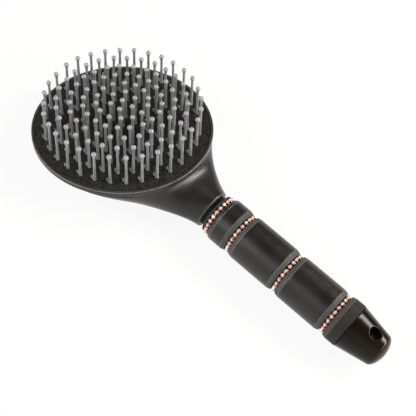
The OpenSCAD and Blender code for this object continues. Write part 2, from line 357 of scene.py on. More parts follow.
class NodeSheet:
    """A node tree that is being laid out."""

    def __init__(self, tree: bpy.types.NodeTree) -> None:
        """Take an empty or emptied tree."""
        self.tree = tree

    @classmethod
    def of(cls, owner: bpy.types.Material | bpy.types.World) -> "NodeSheet":
        """Empty the nodes of a material or a world.

        Args:
            owner: The material or world.

        Returns:
            Its empty sheet.
        """
        owner.use_nodes = True
        owner.node_tree.nodes.clear()
        return cls(owner.node_tree)

    def add(self, kind: str, settings: dict | None = None, **inputs: object) -> bpy.types.Node:
        """Add a node.

        Args:
            kind: The node's type name.
            settings: Properties of the node itself.
            inputs: Values or sockets for its inputs, with _ for a space in the input's name.

        Returns:
            The new node.
        """
        node = self.tree.nodes.new(kind)
        for name, value in (settings or {}).items():
            setattr(node, name, value)
        for name, value in inputs.items():
            self.feed(node.inputs[name.replace("_", " ")], value)
        return node

    def group(self, tree: bpy.types.NodeTree, **inputs: object) -> bpy.types.bpy_prop_collection:
        """Place a shared effect with its own inputs and return its outputs by name."""
        return self.add("ShaderNodeGroup", {"node_tree": tree}, **inputs).outputs

    def feed(self, socket: bpy.types.NodeSocket, value: object) -> None:
        """Set an input to a value, or link it to an output.

        Args:
            socket: The input.
            value: A number, a colour or direction of three numbers, or an output.
        """
        if isinstance(value, bpy.types.NodeSocket):
            self.tree.links.new(value, socket)
        elif isinstance(value, tuple) and len(value) == 3 and socket.type == "RGBA":
            socket.default_value = (*value, 1.0)
        else:
            socket.default_value = value

    def math(self, operation: str, a: object, b: object) -> bpy.types.NodeSocket:
        """Add a sum, product or other operation on two values.

        Args:
            operation: The operation's type name.
            a: The first value or output.
            b: The second value or output.

        Returns:
            The result.
        """
        node = self.add("ShaderNodeMath", {"operation": operation})
        self.feed(node.inputs[0], a)
        self.feed(node.inputs[1], b)
        return node.outputs[0]

    def blend(self, share: object, a: object, b: object) -> bpy.types.NodeSocket:
        """Mix two colours.

        Args:
            share: How much of the second colour shows.
            a: The first colour.
            b: The second colour.

        Returns:
            The mixed colour.
        """
        node = self.add("ShaderNodeMix", {"data_type": "RGBA"})
        # The node's inputs for other kinds of value lie between these.
        for index, value in ((0, share), (6, a), (7, b)):
            self.feed(node.inputs[index], value)
        return node.outputs[2]

    def ramp(self, value: bpy.types.NodeSocket, low: float, high: float) -> bpy.types.NodeSocket:
        """Stretch the values from low to high to the span from 0 to 1, with soft ends."""
        span = {"Value": value, "From_Min": low, "From_Max": high}
        return self.add("ShaderNodeMapRange", {"interpolation_type": "SMOOTHSTEP"}, **span).outputs["Result"]

    def noise(self, scale: object, detail: float = 2.0) -> bpy.types.NodeSocket:
        """Add fine noise fixed to the piece and return its value."""
        place = self.add("ShaderNodeTexCoord").outputs["Object"]
        return self.add("ShaderNodeTexNoise", Vector=place, Scale=scale, Detail=detail).outputs["Fac"]

    def mark(self, name: str) -> bpy.types.NodeSocket:
        """Read a value that is stored for each point of the piece."""
        return self.add("ShaderNodeAttribute", {"attribute_name": name}).outputs["Fac"]


class GroupSheet(NodeSheet):
    """A shared node group that is being laid out, with its inputs and outputs by name."""

    def __init__(self, name: str, inputs: dict[str, tuple], outputs: dict[str, tuple]) -> None:
        """Start a group.

        Args:
            name: The group's name.
            inputs: Names of the inputs by their kind, such as Float or Color.
            outputs: Names of the outputs by their kind.
        """
        super().__init__(bpy.data.node_groups.new(name, "ShaderNodeTree"))
        for way, kinds in (("INPUT", inputs), ("OUTPUT", outputs)):
            for kind, labels in kinds.items():
                for label in labels:
                    self.tree.interface.new_socket(label, in_out=way, socket_type=f"NodeSocket{kind}")
        self.given = self.add("NodeGroupInput").outputs
        self.out = self.add("NodeGroupOutput").inputs

    def shift(self, share: bpy.types.NodeSocket, kind: str) -> None:
        """Put out the given colour and roughness, moved towards those of an edge or a zone.

        Args:
            share: How far they move at each place.
            kind: The first word of the inputs that they move towards.
        """
        tone, gloss = self.given["Color"], self.given["Roughness"]
        self.feed(self.out["Color"], self.blend(share, tone, self.given[f"{kind} Color"]))
        change = self.math("MULTIPLY", share, self.math("SUBTRACT", self.given[f"{kind} Roughness"], gloss))
        self.feed(self.out["Roughness"], self.math("ADD", gloss, change))


@dataclass(frozen=True)
class SharedEffects:
    """Node groups that more than one finish uses."""

    grain: bpy.types.NodeTree
    drift: bpy.types.NodeTree
    edges: bpy.types.NodeTree
    zones: bpy.types.NodeTree

    @classmethod
    def build(cls) -> "SharedEffects":
        """Build each group once and return them together."""
        return cls(cls.moulded_grain(), cls.tone_drift(), cls.worn_and_highlit_edges(), cls.marked_zones())

    @staticmethod
    def moulded_grain() -> bpy.types.NodeTree:
        """Lay out the fine spark grain of a mould with a slower swell under it, as a height.

        Returns:
            The group.
        """
        inputs = {"Float": ("Grain Scale", "Swell Scale", "Swell")}
        sheet = GroupSheet("moulded_grain", inputs, {"Float": ("Height",)})
        fine = sheet.noise(sheet.given["Grain Scale"], detail=3.0)
        slow = sheet.noise(sheet.given["Swell Scale"], detail=1.0)
        swell = sheet.math("MULTIPLY", slow, sheet.given["Swell"])
        sheet.feed(sheet.out["Height"], sheet.math("ADD", fine, swell))
        return sheet.tree

    @staticmethod
    def tone_drift() -> bpy.types.NodeTree:
        """Lay out a slow change between two tones over the surface, with fine specks.

        Returns:
            The group.
        """
        inputs = {"Color": ("Tone", "Other Tone"), "Float": ("Scale", "Speck Scale", "Specks")}
        sheet = GroupSheet("tone_drift", inputs, {"Color": ("Color",)})
        slow = sheet.ramp(sheet.noise(sheet.given["Scale"]), low=0.3, high=0.7)
        speck = sheet.ramp(sheet.noise(sheet.given["Speck Scale"]), low=0.6, high=0.8)
        share = sheet.math("MAXIMUM", slow, sheet.math("MULTIPLY", speck, sheet.given["Specks"]))
        sheet.feed(sheet.out["Color"], sheet.blend(share, sheet.given["Tone"], sheet.given["Other Tone"]))
        return sheet.tree

    @staticmethod
    def worn_and_highlit_edges(patch_scale: float = 700.0) -> bpy.types.NodeTree:
        """Lay out paler, smoother edges broken up by noise: partly wear from handling, partly a painted
        highlight where edges catch the light.

        Args:
            patch_scale: Scale of the noise.

        Returns:
            The group.
        """
        inputs = {"Color": ("Color", "Edge Color"), "Float": ("Roughness", "Edge Roughness", "Wear")}
        sheet = GroupSheet("worn_and_highlit_edges", inputs, {"Color": ("Color",), "Float": ("Roughness",)})
        # The paler edge colour is partly wear and partly a painted highlight along edges that catch the
        # light.
        sharp = sheet.ramp(sheet.mark("edge_wear_and_highlight"), low=0.2, high=0.8)
        patchy = sheet.ramp(sheet.noise(patch_scale), low=0.15, high=0.55)
        share = sheet.math("MULTIPLY", sheet.math("MULTIPLY", sharp, patchy), sheet.given["Wear"])
        sheet.shift(share, "Edge")
        return sheet.tree

    @staticmethod
    def marked_zones(
        patch_scale: float = 110.0,
        grain_scale: float = 900.0,
        patches: float = 0.25,
        grain: float = 0.3,
        least: float = 0.58,
    ) -> bpy.types.NodeTree:
        """Lay out marked parts of a piece that differ in tone and gloss from the rest of it.

        Args:
            patch_scale: Scale of the cloudy patches.
            grain_scale: Scale of the fine grain.
            patches: How much the patches add to the zone's strength.
            grain: How much the grain adds to it.
            least: Its least strength.

        Returns:
            The group.
        """
        inputs = {"Color": ("Color", "Zone Color"), "Float": ("Roughness", "Zone Roughness")}
        sheet = GroupSheet("marked_zones", inputs, {"Color": ("Color",), "Float": ("Roughness",)})
        cloudy = sheet.ramp(sheet.noise(patch_scale, detail=3.0), low=0.35, high=0.65)
        grainy = sheet.ramp(sheet.noise(grain_scale), low=0.3, high=0.7)
        clouds, grains = sheet.math("MULTIPLY", cloudy, patches), sheet.math("MULTIPLY", grainy, grain)
        strength = sheet.math("ADD", sheet.math("ADD", clouds, grains), least)
        sheet.shift(sheet.math("MULTIPLY", sheet.mark("zone"), strength), "Zone")
        return sheet.tree


@dataclass(frozen=True)
class Finish:
    """A finish for one material slot."""

    slot: Slot

    def material(self, effects: SharedEffects) -> bpy.types.Material:
        """Build the finish.

        Args:
            effects: The shared node groups.

        Returns:
            The material, named after its slot.
        """
        made = bpy.data.materials.new(self.slot.value)
        sheet = NodeSheet.of(made)
        shader = sheet.add("ShaderNodeBsdfPrincipled", **self.surface(sheet, effects))
        sheet.add("ShaderNodeOutputMaterial", Surface=shader.outputs["BSDF"])
        return made

    def surface(self, sheet: NodeSheet, effects: SharedEffects) -> dict[str, object]:
        """Lay out what the shader takes and return it by input name."""
        raise NotImplementedError


@dataclass(frozen=True)
class MouldedFinish(Finish):
    """A moulded plastic or rubber: two tones, paler edges that are partly worn and partly a painted
    highlight, and a fine grain.
    """

    tone: Colour
    other_tone: Colour
    edge_tone: Colour
    roughness: float
    edge_roughness: float = 0.3
    wear: float = 0.5
    drift_scale: float = 60.0
    speck_scale: float = 1500.0
    specks: float = 0.0
    grain_scale: float = 3000.0
    swell_scale: float = 140.0
    swell: float = 0.5
    relief: float = 0.04 * MM
    specular: float = 0.5
    specular_tint: Colour = WHITE
    zone_tone: Colour | None = None
    zone_roughness: float = 0.7

    def surface(self, sheet: NodeSheet, effects: SharedEffects) -> dict[str, object]:
        """Lay out the tones, the wear, the marked zone and the grain.

        Args:
            sheet: The material's sheet.
            effects: The shared node groups.

        Returns:
            What the shader takes, by input name.
        """
        drift = sheet.group(
            effects.drift,
            Tone=self.tone,
            Other_Tone=self.other_tone,
            Scale=self.drift_scale,
            Speck_Scale=self.speck_scale,
            Specks=self.specks,
        )
        surface = sheet.group(
            effects.edges,
            Color=drift["Color"],
            Edge_Color=self.edge_tone,
            Roughness=self.roughness,
            Edge_Roughness=self.edge_roughness,
            Wear=self.wear,
        )
        if self.zone_tone is not None:
            surface = sheet.group(
                effects.zones,
                Color=surface["Color"],
                Zone_Color=self.zone_tone,
                Roughness=surface["Roughness"],
                Zone_Roughness=self.zone_roughness,
            )
        grain = sheet.group(
            effects.grain, Grain_Scale=self.grain_scale, Swell_Scale=self.swell_scale, Swell=self.swell
        )
        bump = sheet.add("ShaderNodeBump", Height=grain["Height"], Distance=self.relief, Strength=1.0)
        return {
            "Base_Color": surface["Color"],
            "Roughness": surface["Roughness"],
            "Normal": bump.outputs["Normal"],
            "Specular_IOR_Level": self.specular,
            "Specular_Tint": self.specular_tint,
        }


@dataclass(frozen=True)
class MetalFinish(Finish):
    """Plated metal that is polished on its edges and duller in its hollows."""

    tone: Colour
    edge_tone: Colour
    roughness: float = 0.22
    edge_roughness: float = 0.12
    wear: float = 1.0

    def surface(self, sheet: NodeSheet, effects: SharedEffects) -> dict[str, object]:
        """Lay out the polish.

        Args:
            sheet: The material's sheet.
            effects: The shared node groups.

        Returns:
            What the shader takes, by input name.
        """
        polish = sheet.group(
            effects.edges,
            Color=self.tone,
            Edge_Color=self.edge_tone,
            Roughness=self.roughness,
            Edge_Roughness=self.edge_roughness,
            Wear=self.wear,
        )
        return {"Base_Color": polish["Color"], "Roughness": polish["Roughness"], "Metallic": 1.0}


@dataclass(frozen=True)
class CrystalFinish(Finish):
    """Foil-backed cut crystal: a tinted mirror under a clear coat."""

    tone: Colour
    other_tone: Colour
    metallic: float = 0.35
    roughness: float = 0.12
    coat_roughness: float = 0.02
    drift_scale: float = 700.0
    speck_scale: float = 2500.0
    specks: float = 0.3

    def surface(self, sheet: NodeSheet, effects: SharedEffects) -> dict[str, object]:
        """Lay out the foil's two tones: a pink one, and a near-white one in patches and specks that are
        partly painted glints.

        Args:
            sheet: The material's sheet.
            effects: The shared node groups.

        Returns:
            What the shader takes, by input name.
        """
        foil = sheet.group(
            effects.drift,
            Tone=self.tone,
            Other_Tone=self.other_tone,
            Scale=self.drift_scale,
            Speck_Scale=self.speck_scale,
            Specks=self.specks,
        )
        return {
            "Base_Color": foil["Color"],
            "Metallic": self.metallic,
            "Roughness": self.roughness,
            "Coat_Weight": 1.0,
            "Coat_Roughness": self.coat_roughness,
        }


FINISHES = (
    MouldedFinish(
        Slot.BODY,
        colour("191715"),
        colour("2a2622"),
        # Paler edge tone on the rim and seat edges: partly wear, partly a painted highlight.
        colour("8f8b83"),
        roughness=0.31,
        wear=0.6,
        drift_scale=45.0,
        zone_tone=colour("1f1e1e"),
        zone_roughness=0.8,
    ),
    MouldedFinish(
        Slot.PAD,
        colour("0d0c0c"),
        colour("323130"),
        colour("2b2a2a"),
        roughness=0.85,
        edge_roughness=0.7,
        drift_scale=750.0,
        specks=0.8,
        speck_scale=1900.0,
        grain_scale=2200.0,
        relief=0.2 * MM,
        specular=0.3,
    ),
    MouldedFinish(
        Slot.PIN,
        colour("909598"),
        colour("6e7275"),
        colour("b2b2ae"),
        roughness=0.3,
        wear=0.3,
        drift_scale=220.0,
        relief=0.02 * MM,
        # Paler, glossier balls: the paler tone is partly painted light falling on the tips from above.
        zone_tone=colour("a9a8a4"),
        zone_roughness=0.2,
    ),
    MouldedFinish(
        Slot.COLLAR,
        # Near-black base tone: painted shade in the neck spool's groove; also the dark seam before the cap.
        colour("060606"),
        colour("0b0a0a"),
        # Paler edge tone: a painted highlight on the collars' edges, partly wear.
        colour("6d6a64"),
        roughness=0.6,
        specular=0.2,
        zone_tone=colour("4f4943"),
    ),
    MouldedFinish(
        Slot.GRIP,
        colour("120f0d"),
        colour("231e1b"),
        # Paler edge tone, strongest at each flank's crease: partly wear, partly a painted highlight.
        colour("8a8984"),
        roughness=0.36,
        edge_roughness=0.5,
        wear=0.45,
        drift_scale=70.0,
        swell_scale=150.0,
        swell=2.2,
        relief=0.07 * MM,
        zone_tone=colour("444443"),
    ),
    MouldedFinish(
        Slot.CAP,
        colour("0c0906"),
        colour("1e150c"),
        colour("33302c"),
        roughness=0.2,
        edge_roughness=0.25,
        wear=0.3,
        relief=0.006 * MM,
        specular=0.25,
        specular_tint=colour("fff3e9"),
        zone_tone=colour("030303"),
        zone_roughness=0.8,
    ),
    MetalFinish(Slot.METAL, colour("84492f"), colour("dca088")),
    # The near-white second tone and the specks are partly painted glints on the crystals.
    CrystalFinish(Slot.CRYSTAL, colour("f7d3c6"), colour("fff3ee")),
)


@dataclass
class SubAssembly:
    """A part of the brush, placed by the brush's frame and dressed in its finishes."""

    frame: BrushFrame
    materials: dict[Slot, bpy.types.Material]

    def dress(self, piece: bpy.types.Object, node: str, slot: Slot, body: Body = Body.BRUSH) -> None:
        """Give a piece its finish and put it in its node's place.

        Args:
            piece: The piece.
            node: The node it stands for.
            slot: The material slot it takes its finish from.
            body: The body it rides on.
        """
        piece.data.materials.append(self.materials[slot])
        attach(piece, body.value)
        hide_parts(node)
        LOG.info("%s stands for %s: %d faces", piece.name, node, len(piece.data.polygons))


@dataclass
class HeadShell(SubAssembly):
    """Round rim, bowl, shoulder and neck in one skin, with the recess for the pad.

    Each field of three values holds those at the shoulder, at the flanks and at the far end.
    """

    rim_r: float = 47.5 * MM
    rim_h: float = 2.5 * MM
    rim_land: float = 1.3 * MM
    rim_round: float = 0.5 * MM
    rim_under: float = 0.3 * MM
    under_round: float = 0.25 * MM
    seat_round: float = 0.35 * MM
    rim_lip: float = 0.4 * MM
    skin_z: float = -1.875 * MM
    angles: Triple = (105.0, 66.0, 55.0)
    reaches: Triple = (3.5 * MM, 12.0 * MM, 19.0 * MM)
    runs: Triple = (12.0 * MM, 9.0 * MM, 42.0 * MM)
    flank_flare: float = 1.3
    neck_x: float = 64.6 * MM
    neck_r: float = 10.8 * MM
    neck_round: float = 0.8 * MM
    core_r: float = 8.0 * MM
    core_in_cap: float = 5.0 * MM
    seat_z: float = -2.05 * MM
    chamber_r: float = 41.9 * MM
    chamber_z: float = -4.7 * MM
    shiny_edge: float = 0.9
    sides: int = 168
    steps: int = 56
    neck_steps: int = 6
    latest_start: float = 0.3
    halvings: int = 24

    @staticmethod
    def around(a: float, values: Triple) -> float:
        """Blend a value round the rim.

        Args:
            a: Angle round the rim, with 0 on the handle's side, in radians.
            values: The values at the shoulder, at the flanks and at the far end.

        Returns:
            The value at the angle.
        """
        near = max(math.cos(a), 0.0) ** 2
        far = max(-math.cos(a), 0.0) ** 2
        shoulder, side, tip = values
        return shoulder * near + side * (1 - near - far) + tip * far

    def skin(self, a: float, s: float) -> Vector:
        """Return a point of the skin.

        Args:
            a: Angle round the rim, with 0 on the handle's side, in radians.
            s: Share of the way from the rim to the neck's end.

        Returns:
            The point in the shared frame.
        """
        angle = math.radians(self.around(a, self.angles))
        reach = self.around(a, self.reaches)
        run = self.around(a, self.runs)
        start_r = self.rim_r - self.rim_lip
        reach_r = start_r - reach * math.cos(angle)
        turn = Vector((math.cos(a), math.sin(a)))
        end_x = self.neck_x - self.neck_round
        p0 = self.frame.pad(start_r * turn.x, start_r * turn.y, self.skin_z)
        p1 = self.frame.pad(reach_r * turn.x, reach_r * turn.y, self.skin_z - reach * math.sin(angle))
        p2 = self.frame.handle(end_x - run, self.flank_flare * self.neck_r * turn.y, self.neck_r * turn.x)
        p3 = self.frame.handle(end_x, self.neck_r * turn.y, self.neck_r * turn.x)
        return p0 * (1 - s) ** 3 + p1 * 3 * s * (1 - s) ** 2 + p2 * 3 * s * s * (1 - s) + p3 * s**3

    def skin_start(self, a: float) -> float:
        """Find where the skin leaves the rim's underside.

        Args:
            a: Angle round the rim, in radians.

        Returns:
            The share of the way from the rim to the neck's end.
        """
        low, high = 0.0, self.latest_start
        for _ in range(self.halvings):
            middle = (low + high) / 2
            if self.frame.to_pad(self.skin(a, middle)).z > -self.rim_h:
                low = middle
            else:
                high = middle
        return high

    def rim_outline(self) -> Profile:
        """Lay out the rim and the recess.

        Returns:
            Points of (height, radius), from the rim's underside over its land to the chamber's floor.
        """
        seat_r = self.rim_r - self.rim_land
        return filleted(
            [
                (-self.rim_h, self.rim_r - self.rim_under, 0.0),
                (-self.rim_h, self.rim_r, self.under_round),
                (0.0, self.rim_r, self.rim_round),
                (0.0, seat_r, self.seat_round),
                (self.seat_z, seat_r, 0.0),
                (self.seat_z, self.chamber_r, 0.0),
                (self.chamber_z, self.chamber_r, 0.0),
                (self.chamber_z, self.core_r, 0.0),
            ]
        )

    def land_share(self, point: Vector) -> float:
        """Tell the rim's matte land and the recess from the rest.

        Args:
            point: A point of the head, in the shared frame.

        Returns:
            1 on the land or in the recess, and 0 elsewhere.
        """
        place = self.frame.to_pad(point)
        inset = self.rim_r - math.hypot(place.x, place.y)
        # The seat's edge stays out of the matte zone, so that its paler edge tone, partly a painted
        # highlight, shows there.
        shiny = self.shiny_edge * self.seat_round
        on_edge = inset > self.rim_land - shiny and place.z > -shiny
        return 1.0 if inset > self.rim_round and place.z > self.chamber_z and not on_edge else 0.0

    def build(self) -> None:
        """Skin the core, the neck, the bowl, the rim and the recess as one closed mesh, and dress it."""
        core_stop = self.frame.span("end_cap")[0] + self.core_in_cap
        outline = [(core_stop, self.core_r), (self.neck_x, self.core_r)]
        for lean in reversed(quarter_turn(self.neck_steps)):
            x = self.neck_x - self.neck_round * (1 - math.sin(lean))
            outline.append((x, self.neck_r - self.neck_round * (1 - math.cos(lean))))
        rings = self.frame.turned(outline, self.sides)
        turns = full_turn(self.sides)
        starts = [self.skin_start(a) for a in turns]
        for k in range(1, self.steps + 1):
            rings.append([self.skin(a, mix(1.0, s, k / self.steps)) for a, s in zip(turns, starts)])
        rings += self.frame.pad_rings([circle(r, z, self.sides) for z, r in self.rim_outline()])
        for ring in rings:
            for point in ring:
                point.z = max(point.z, 0.0)
        shell = Shell()
        shell.loft(rings)
        piece = shell.piece("head_shell")
        mark_zone(piece, self.land_share)
        self.dress(piece, "brush_body", Slot.BODY)


@dataclass
class CushionPad(SubAssembly):
    """Crowned rubber pad, puckered where each pin goes through it."""

    radius: float = 46.05 * MM
    drop: float = 0.4 * MM
    thickness: float = 1.5 * MM
    crown: float = 0.4 * MM
    edge_w: float = 0.8 * MM
    edge_drop: float = 0.2 * MM
    pucker_r: float = 1.5 * MM
    pucker: float = 0.22 * MM
    rings: int = 100
    sides: int = 336

    def height(self, r: float) -> float:
        """Return the height of the pad's face at a distance from its middle."""
        over = max(r - (self.radius - self.edge_w), 0.0) / self.edge_w
        return self.crown * (1 - (r / self.radius) ** 2) - self.drop - self.edge_drop * over * over

    def draw_in(self, face: list[Ring], foot: Vector) -> None:
        """Draw the rubber in round one pin.

        Args:
            face: The rings of the pad's face, as pad points.
            foot: Where the pin goes through it.
        """
        reach = math.hypot(foot.x, foot.y)
        step = self.radius / self.rings
        first = max(int((reach - self.pucker_r) / step) - 1, 0)
        for ring in face[first : int((reach + self.pucker_r) / step) + 1]:
            for point in ring:
                away = math.hypot(point.x - foot.x, point.y - foot.y) / self.pucker_r
                if away < 1.0:
                    point.z -= self.pucker * (1 - away * away) ** 2

    def build(self, feet: list[Vector]) -> None:
        """Make the pad as one closed mesh, and dress it.

        Args:
            feet: Where each pin goes through the pad, as pad points.
        """
        radii = [self.radius * k / self.rings for k in range(1, self.rings + 1)]
        rings = [circle(r, self.height(r), self.sides) for r in radii]
        for foot in feet:
            self.draw_in(rings, foot)
        under = -self.drop - self.thickness
        rings.append([Vector((p.x, p.y, under)) for p in rings[-1]])
        shell = Shell()
        shell.loft(self.frame.pad_rings(rings))
        face = shell.piece("cushion_face")
        self.dress(face, "cushion_pad", Slot.PAD)
        normal = self.frame.pad_turn() @ Vector((0.0, 0.0, 1.0))
        anchor = self.frame.pad(0.0, 0.0, under)
        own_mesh(face)


@dataclass
class PinField(SubAssembly):
    """Rings of ball-tipped pins, each with a short nub beside its foot and a bar that joins them.

    The lean and its limit are in degrees.
    """

    pad: CushionPad
    counts: tuple[int, ...] = (1, 6, 14, 20, 24, 28, 32)
    margin: float = 5.8 * MM
    length: float = 17.7 * MM
    root: float = 1.2 * MM
    foot_r: float = 0.8 * MM
    foot_round: float = 0.3 * MM
    flare_r: float = 0.976 * MM
    flare_h: float = 0.5 * MM
    flare_round: float = 0.2 * MM
    neck_r: float = 0.65 * MM
    neck_round: float = 0.8 * MM
    throat: float = 2.6 * MM
    ball_r: float = 1.3 * MM
    ball_start: float = -45.0
    ball_steps: int = 8
    nub_r: float = 0.52 * MM
    nub_h: float = 1.7 * MM
    nub_reach: float = 2.0 * MM
    nub_root: float = 0.2 * MM
    bar_w: float = 0.728 * MM
    bar_h: float = 0.45 * MM
    bar_round: float = 0.3 * MM
    lean: float = 0.9
    lean_limit: float = 2.5
    sides: int = 16
    nub_sides: int = 12
    nub_steps: int = 5

    def feet(self, ring: int) -> list[Vector]:
        """Return where the pins of one ring go through the pad, as pad points."""
        r = ring * (self.pad.radius - self.margin) / (len(self.counts) - 1)
        return circle(r, self.pad.height(r), self.counts[ring])

    def all_feet(self) -> list[Vector]:
        """Return the feet of every pin."""
        return [foot for ring in range(len(self.counts)) for foot in self.feet(ring)]

    def outline(self) -> Profile:
        """Lay out a pin from its root to the top of its ball.

        Returns:
            Points of (height, radius).
        """
        seat = math.radians(self.ball_start)
        outline = filleted(
            [
                (-self.root, self.foot_r, 0.0),
                (0.0, self.flare_r, self.flare_round),
                (self.flare_h, self.foot_r, self.foot_round),
                (self.length - self.throat, self.neck_r, self.neck_round),
                (self.length + self.ball_r * math.sin(seat), self.ball_r * math.cos(seat), 0.0),
            ],
            steps=3,
        )
        for k in range(1, self.ball_steps):
            lift = mix(seat, QUARTER_TURN, k / self.ball_steps)
            outline.append((self.length + self.ball_r * math.sin(lift), self.ball_r * math.cos(lift)))
        return outline

    def add_pin(self, shell: Shell, foot: Vector, turn: Matrix) -> None:
        """Add one pin.

        Args:
            shell: The ring's mesh.
            foot: Where the pin goes through the pad.
            turn: The small turn about its foot by which it leans.
        """
        rings = [[foot + turn @ p for p in circle(r, z, self.sides)] for z, r in self.outline()]
        shell.loft(self.frame.pad_rings(rings))

    def add_nub(self, shell: Shell, foot: Vector) -> None:
        """Add the nub beside one pin, and the bar that joins them.

        Args:
            shell: The ring's mesh.
            foot: Where the pin goes through the pad.
        """
        base = foot - Vector((self.nub_reach, 0.0, 0.0))
        dome = [(-self.nub_root, self.nub_r)]
        for lift in quarter_turn(self.nub_steps)[:-1]:
            dome.append((self.nub_h - self.nub_r * (1 - math.sin(lift)), self.nub_r * math.cos(lift)))
        nub = [[base + p for p in circle(r, z, self.nub_sides)] for z, r in dome]
        half = self.bar_w / 2
        top, low = (self.bar_h, self.bar_round), (-self.nub_root, 0.0)
        section = filleted([(-half, *low), (-half, *top), (half, *top), (half, *low)])
        bar = [[foot + Vector((x, y, z)) for y, z in section] for x in (-self.nub_reach, 0.0)]
        for rings in (nub, bar):
            shell.loft(self.frame.pad_rings(rings))

    def ball_share(self, point: Vector) -> float:
        """Return 1 where a shared point lies on a pin's ball, and 0 elsewhere."""
        seat = self.length - self.ball_r - self.pad.drop
        return 1.0 if self.frame.to_pad(point).z > seat else 0.0

    def build(self, dice: random.Random) -> None:
        """Make and dress each ring of pins.

        Args:
            dice: Seeded source of each pin's small lean.
        """
        for ring in range(len(self.counts)):
            shell = Shell()
            for foot in self.feet(ring):
                way = Vector((dice.gauss(0.0, 1.0), dice.gauss(0.0, 1.0), 0.0))
                lean = max(-self.lean_limit, min(self.lean_limit, dice.gauss(0.0, self.lean)))
                self.add_pin(shell, foot, Matrix.Rotation(math.radians(lean), 3, way.normalized()))
                self.add_nub(shell, foot)
            piece = shell.piece("pin_middle" if ring == 0 else f"pin_row_{ring}")
            # The balls take a paler tone, partly painted light on the lit tips.
            mark_zone(piece, self.ball_share)
            node = "pins_centre" if ring == 0 else f"pins_ring_{ring}"
            self.dress(piece, node, Slot.PIN, Body.PINS)


@dataclass
class Sleeve(SubAssembly):
    """A grip sleeve on the core: the seat of its crystal band, then a body with matte, shaped ends."""

    node: str
    name: str
    slot: Slot = Slot.GRIP
    radius: float = 12.3 * MM
    band_w: float = 2.6 * MM
    band_r: float = 9.2 * MM
    band_round: float = 0.05 * MM
    bore_r: float = 8.1 * MM
    flank_w: float = 2.2 * MM
    flank_drop: float = 0.6 * MM
    flank_round: float = 0.2 * MM
    end_round: float = 0.4 * MM
    matte_gap: float = 0.08 * MM
    crease_wear_and_highlight_w: float = 0.25 * MM
    plain_gap: float = 0.5 * MM
    plain_steps: int = 8

    def span(self) -> tuple[float, float]:
        """Return where the sleeve's body starts, behind the band, and where it stops."""
        start, stop = self.frame.span(self.node)
        return start + self.band_w, stop

    def nose(self, x: float) -> Outline:
        """Return the corners of the end beside the band at x, from the band outwards."""
        end_r = self.radius - self.flank_drop
        return [(x, end_r, self.end_round), (x + self.flank_w, self.radius, self.flank_round)]

    def heel(self, x: float) -> Outline:
        """Return the corners of the end that stops at x, outwards to the end."""
        end_r = self.radius - self.flank_drop
        return [(x - self.flank_w, self.radius, self.flank_round), (x, end_r, self.end_round)]

    def is_matte(self, reach: float) -> bool:
        """Return whether a place is on a flank, by its distance from that end of the body."""
        return reach < self.flank_w - self.matte_gap

    def flank_share(self, point: Vector) -> float:
        """Tell the matte flanks from the rest.

        Args:
            point: A point of the sleeve, in the shared frame.

        Returns:
            1 on a flank or on the band's seat, and 0 elsewhere.
        """
        start, stop = self.span()
        x = self.frame.along(point)
        return 1.0 if self.is_matte(min(x - start, stop - x)) else 0.0

    def build(self) -> None:
        """Turn the sleeve, mark its flanks and the pale lines at their creases, which are partly wear and
        partly a painted highlight, and dress it.
        """
        start, stop = self.span()
        inset = self.flank_w + self.plain_gap
        shares = [k / self.plain_steps for k in range(self.plain_steps + 1)]
        seat = start - self.band_w
        profile = filleted(
            [
                (seat, self.bore_r, 0.0),
                (seat, self.band_r, self.band_round),
                (start, self.band_r, self.band_round),
                *self.nose(start),
                *[(mix(start + inset, stop - inset, share), self.radius, 0.0) for share in shares],
                *self.heel(stop),
                (stop, self.bore_r, 0.0),
            ]
        )
        shell = Shell()
        shell.loft(self.frame.turned(profile), hoop=True)
        piece = shell.piece(self.name)
        mark_zone(piece, self.flank_share)
        # A pale line along each flank's crease: partly wear, partly a painted highlight on the lit edge.
        for vertex, wear in zip(piece.data.vertices, piece.data.attributes["edge_wear_and_highlight"].data):
            x = self.frame.along(vertex.co)
            if min(abs(x - start - self.flank_w), abs(stop - x - self.flank_w)) < self.crease_wear_and_highlight_w:
                wear.value = 1.0
        self.dress(piece, self.node, self.slot)


@dataclass
class FrontGrip(Sleeve):
    """The short grip behind the neck, with a rounded nose."""

    nose_w: float = 2.3 * MM
    nose_drop: float = 1.8 * MM
    nose_steps: int = 8

    def nose(self, x: float) -> Outline:
        """Return points on the curve of the rounded nose that starts at x.

        Args:
            x: Where the nose starts along the handle.

        Returns:
            Points of (along, radius, fillet), from the band outwards.
        """
        points = []
        for lean in quarter_turn(self.nose_steps):
            radius = self.radius - self.nose_drop * (1 - math.sin(lean))
            points.append((x + self.nose_w * (1 - math.cos(lean)), radius, 0.0))
        return points

    def flank_share(self, point: Vector) -> float:
        """Return 1 where a shared point lies on the matte rear flank, and 0 elsewhere."""
        return 1.0 if self.is_matte(self.span()[1] - self.frame.along(point)) else 0.0


@dataclass
class TailCollar(Sleeve):
    """The ring before the end cap, with a thin seam where they meet."""

    slot: Slot = Slot.COLLAR
    radius: float = 12.5 * MM
    seam_w: float = 0.35 * MM
    seam_round: float = 0.1 * MM
    body_share: float = 0.38

    def heel(self, x: float) -> Outline:
        """Return the corners of the broken edge at the seam at x."""
        seam_r = self.radius - self.seam_w
        return [(x - self.seam_w, self.radius, self.seam_round), (x, seam_r, self.seam_round)]

    def flank_share(self, point: Vector) -> float:
        """Tell the matte front flank from the body and from the dark seam.

        Args:
            point: A point of the collar, in the shared frame.

        Returns:
            1 on the flank or on the band's seat, 0 at the seam, and the body's own share between them.
        """
        start, stop = self.span()
        x = self.frame.along(point)
        if x > stop - self.seam_w:
            return 0.0
        return 1.0 if self.is_matte(x - start) else self.body_share


